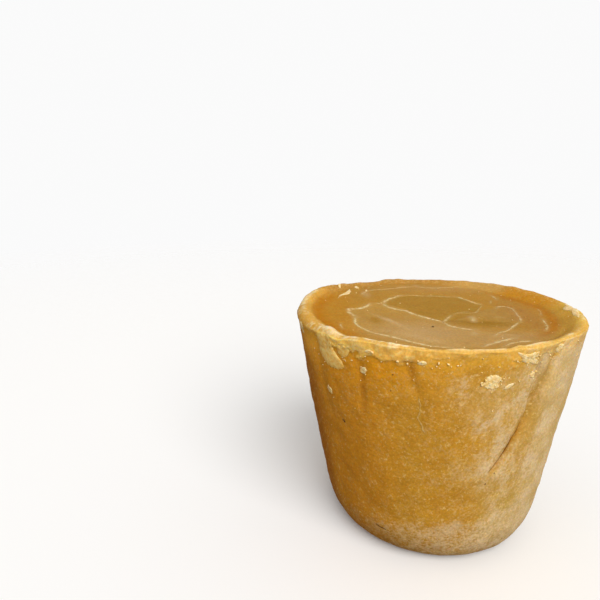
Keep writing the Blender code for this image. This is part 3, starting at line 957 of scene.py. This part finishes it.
# %% Set jaggery: its crystals
# Single crystals catch the light as pale dots, and are far finer than a millimetre. They are
# drawn 1 mm wide, the finest that shows, and so are the grains that make the amber shimmer.
flecks = node(tree, "TexNoise", {"Vector": place, "Scale": 1.0 / (2.8 * MM), "Detail": 4.0,
                                 "Roughness": 0.7, "Distortion": 0.2})
sparse = node(tree, "MapRange", {"Value": flecks, "From Min": 0.565, "From Max": 0.64, "To Max": 0.6})
not_glossy = node(tree, "MapRange", {"Value": painted["gloss"], "To Min": 1.0, "To Max": 0.15})
where_dry = node(tree, "MapRange", {"Value": painted["bloom"], "From Max": 0.2, "To Min": 0.3})
dotted = node(tree, "Math", {0: sparse, 1: where_dry}, operation="MULTIPLY")
crystals = node(tree, "Math", {0: dotted, 1: not_glossy}, operation="MULTIPLY")
with_dots = node(tree, "Mix", {"Factor": crystals, "A": with_bloom, "B": linear("#e6c27a")},
                 data_type="RGBA")
grains = node(tree, "TexNoise", {"Vector": place, "Scale": 1.0 / (1.7 * MM)})
shimmer = node(tree, "MapRange", {"Value": grains, "From Min": 0.3, "From Max": 0.7,
                                  "To Min": 0.88, "To Max": 1.12})
shimmering = node(tree, "Mix", {"Factor": 1.0, "A": with_dots, "B": shimmer},
                  data_type="RGBA", blend_type="MULTIPLY")

# %% Set jaggery: threads and the crack
# Threads are nearly pure sugar, and paler still. The crack is painted dark brown, as the shade inside it.
thread_share = node(tree, "Math", {0: painted["pale"], 1: 0.9}, operation="MULTIPLY")
with_threads = node(tree, "Mix", {"Factor": thread_share, "A": shimmering, "B": linear("#ead09a")},
                    data_type="RGBA")
colour = node(tree, "Mix", {"Factor": painted["crack_shade"], "A": with_threads, "B": linear("#6a4008")},
              data_type="RGBA")

# %% [markdown]
# The finish follows the same numbers: glossy where it set in air, matt where it set on cloth,
# and dry where it bloomed. Its grain stands 0.1 to 0.3 mm high, too fine for the mesh, so a
# bump node tilts the light instead.

# %% Set jaggery: its finish
SUGAR_IOR = 1.54  # of sucrose
set_face = node(tree, "MapRange", {"Value": painted["gloss"], "To Min": 0.56, "To Max": 0.34})
dulled = node(tree, "Math", {0: bloomed, 1: 0.2, 2: set_face}, operation="MULTIPLY_ADD")
uneven = node(tree, "MapRange", {"Value": meal, "From Min": 0.3, "From Max": 0.7,
                                 "To Min": -0.06, "To Max": 0.06})
roughness = node(tree, "Math", {0: dulled, 1: uneven}, operation="ADD")
low_lumps = node(tree, "TexNoise", {"Vector": place, "Scale": 1.0 / (4.0 * MM)})
height = node(tree, "Math", {0: low_lumps, 1: 1.5, 2: meal}, operation="MULTIPLY_ADD")
strength = node(tree, "MapRange", {"Value": painted["gloss"], "To Min": 0.55, "To Max": 0.22})
bump = node(tree, "Bump", {"Height": height, "Strength": strength, "Distance": 0.35 * MM})
shader = node(tree, "BsdfPrincipled", {
    "Base Color": colour, "Roughness": roughness, "Normal": bump, "IOR": SUGAR_IOR,
    "Specular IOR Level": 0.2,  # a film of meal hides much of the shine
    "Subsurface Weight": 0.35, "Subsurface Radius": (1.0, 0.5, 0.2), "Subsurface Scale": 4.0 * MM})
node(tree, "OutputMaterial", {"Surface": shader})
for piece in (skin, threads):
    piece.data.materials.append(jaggery)
print(f"{jaggery.name}: {len(tree.nodes)} nodes")

# %% [markdown]
# Crumbs and flakes are the same sugar, but dried through. Air between their grains
# scatters the light, so they look cream, with no gloss. A flake is still half paste.

# %% Dry crumbled jaggery
dry, tree = new_material("dry_crumbled_jaggery")
place = node(tree, "TexCoord").outputs["Object"]
patches = node(tree, "TexNoise", {"Vector": place, "Scale": 1.0 / (2.5 * MM), "Detail": 3.0})
lighter = node(tree, "MapRange", {"Value": patches, "From Min": 0.35, "From Max": 0.65})
pasty = node(tree, "Mix", {"Factor": lighter, "A": linear("#f2b23c"), "B": linear("#fcd472")},
             data_type="RGBA")
floury = node(tree, "Mix", {"Factor": lighter, "A": linear("#e8c274"), "B": linear("#f8e2b2")},
              data_type="RGBA")
dryness = node(tree, "Attribute", attribute_name="dryness").outputs["Fac"]
colour = node(tree, "Mix", {"Factor": dryness, "A": pasty, "B": floury}, data_type="RGBA")
crumbly = node(tree, "TexNoise", {"Vector": place, "Scale": 1.0 / (1.0 * MM), "Detail": 3.0})
roughness = node(tree, "MapRange", {"Value": crumbly, "From Min": 0.3, "From Max": 0.7,
                                    "To Min": 0.6, "To Max": 0.85})
bump = node(tree, "Bump", {"Height": crumbly, "Strength": 0.8, "Distance": 0.25 * MM})
shader = node(tree, "BsdfPrincipled", {
    "Base Color": colour, "Roughness": roughness, "Normal": bump, "IOR": SUGAR_IOR,
    "Subsurface Weight": 0.25, "Subsurface Radius": (1.0, 0.6, 0.3), "Subsurface Scale": 2.0 * MM})
node(tree, "OutputMaterial", {"Surface": shader})
for piece in (flakes, crumbs):
    piece.data.materials.append(dry)
print(f"{dry.name}: {len(tree.nodes)} nodes")

# %% [markdown]
# A charred speck is cane fibre burnt brown-black, matt, with streaks along it.

# %% Charred cane
charred, tree = new_material("charred_cane")
place = node(tree, "TexCoord").outputs["Object"]
fibres = node(tree, "TexNoise", {"Vector": place, "Scale": 1.0 / (0.8 * MM)})
streaks = node(tree, "MapRange", {"Value": fibres, "From Min": 0.35, "From Max": 0.65})
colour = node(tree, "Mix", {"Factor": streaks, "A": linear("#2a1606"), "B": linear("#6b3d10")},
              data_type="RGBA")
roughness = node(tree, "MapRange", {"Value": streaks, "To Min": 0.7, "To Max": 0.85})
shader = node(tree, "BsdfPrincipled", {"Base Color": colour, "Roughness": roughness, "IOR": 1.45})
node(tree, "OutputMaterial", {"Surface": shader})
specks.data.materials.append(charred)
print(f"{charred.name}: {len(tree.nodes)} nodes")

# %% [markdown]
# ## Light, floor and camera
#
# The eye stands about half a metre away, a little above the block's top and left of it, and
# looks slightly down, so the pour surface shows as a narrow ellipse. The strong taper
# towards the foot is partly this close view.

# %% The camera
EYE_LEFT, EYE_BACK, EYE_UP = 0.4926 * WIDTH, 1.922 * WIDTH, 1.294 * WIDTH
LOOK_DOWN_DEG = 13.34
FOCAL_LENGTH, SENSOR_WIDTH = 32.4, 36.0

camera_data = bpy.data.cameras.new("camera")
camera_data.lens = FOCAL_LENGTH
camera_data.sensor_width = SENSOR_WIDTH
camera = bpy.data.objects.new("camera", camera_data)
camera.location = Vector((-EYE_LEFT, -EYE_BACK, EYE_UP)) * MM
camera.rotation_euler = (np.radians(90.0 - LOOK_DOWN_DEG), 0.0, 0.0)
bpy.context.scene.collection.objects.link(camera)
bpy.context.scene.camera = camera
print(f"camera {camera.location.length:.2f} m away")

# %% [markdown]
# One wide soft light comes from the front right, like a window, so the left side falls into
# a mild shade. A pale even world fills in. A sun that is drawn 50 degrees wide is as soft as
# a wide window, and lights the floor evenly.

# %% Soft light
bpy.context.scene.view_settings.view_transform = "Standard"
world = bpy.data.worlds.new("soft_room")
world.use_nodes = True
world.node_tree.nodes["Background"].inputs["Color"].default_value = linear("#ffffff")
world.node_tree.nodes["Background"].inputs["Strength"].default_value = 0.5
world.cycles_visibility.glossy = False
bpy.context.scene.world = world

sun = bpy.data.lights.new("window", "SUN")
sun.angle = np.radians(50.0)
sun.energy = 2.75
window = bpy.data.objects.new("window", sun)
WINDOW_TURN_DEG, WINDOW_UP_DEG = -74.0, 38.0
turn, up = np.radians(WINDOW_TURN_DEG), np.radians(WINDOW_UP_DEG)
towards = Vector((np.cos(turn) * np.cos(up), np.sin(turn) * np.cos(up), np.sin(up)))
window.rotation_euler = towards.to_track_quat("Z", "Y").to_euler()
bpy.context.scene.collection.objects.link(window)
print(f"window light from {WINDOW_TURN_DEG:.0f} degrees")

# %% [markdown]
# The floor is white paper that fades out into a bright backdrop, which only the camera sees,
# so that it adds no light of its own. White paper would light the block's foot as strongly
# as the window does. So the block does not see the white paper, but a grey one just below,
# which the camera does not see. And what the block mirrors is a room in warm brown, as if
# other blocks stood around it: a white room would turn its amber pink.

# %% Stage pieces
ROOM_PAPER_RADIUS, FADE_FROM, FADE_TO = 4.0, 0.6, 2.2  # metres
ALL_RAYS = ("camera", "diffuse", "glossy", "transmission", "volume_scatter", "shadow")


def stage_piece(name, material, rays, ball=False):
    """A wide disc on the ground or a ball around it, seen only by some kinds of ray."""
    shape = bmesh.new()
    if ball:
        bmesh.ops.create_icosphere(shape, subdivisions=3, radius=1.5 * ROOM_PAPER_RADIUS)
    else:
        bmesh.ops.create_circle(shape, cap_ends=True, segments=96, radius=ROOM_PAPER_RADIUS)
    mesh = bpy.data.meshes.new(name)
    shape.to_mesh(mesh)
    shape.free()
    mesh.materials.append(material)
    piece = bpy.data.objects.new(name, mesh)
    for ray in ALL_RAYS:
        setattr(piece, "visible_" + ray, ray in rays)
    bpy.context.scene.collection.objects.link(piece)
    return piece


def glow(name, code, strength):
    """A material that only shines."""
    material, tree = new_material(name)
    light = node(tree, "Emission", {"Color": linear(code), "Strength": strength})
    node(tree, "OutputMaterial", {"Surface": light})
    return material


# %% Floor, backdrop and room
paper, tree = new_material("white_paper")
place = node(tree, "TexCoord").outputs["Object"]
distance = node(tree, "VectorMath", {0: place}, operation="LENGTH")
near = node(tree, "MapRange", {"Value": distance, "From Min": FADE_FROM, "From Max": FADE_TO,
                               "To Min": 1.0, "To Max": 0.0})
shader = node(tree, "BsdfPrincipled", {"Base Color": linear("#fbfaf8"), "Roughness": 0.9, "Alpha": near})
node(tree, "OutputMaterial", {"Surface": shader})
stage_piece("floor", paper, ("camera", "transmission", "shadow"))

grey, tree = new_material("grey_paper")
shader = node(tree, "BsdfPrincipled", {"Base Color": linear("#aeaca8"), "Roughness": 0.9})
node(tree, "OutputMaterial", {"Surface": shader})
underlay = stage_piece("underlay", grey, ("diffuse", "transmission", "shadow"))
underlay.location.z = -2.0 * MM

stage_piece("backdrop", glow("bright_backdrop", "#ffffff", 0.96), ("camera",), ball=True)
stage_piece("room", glow("warm_room", "#b47c38", 0.7), ("glossy",), ball=True)
print("stage: floor, underlay, backdrop and room")
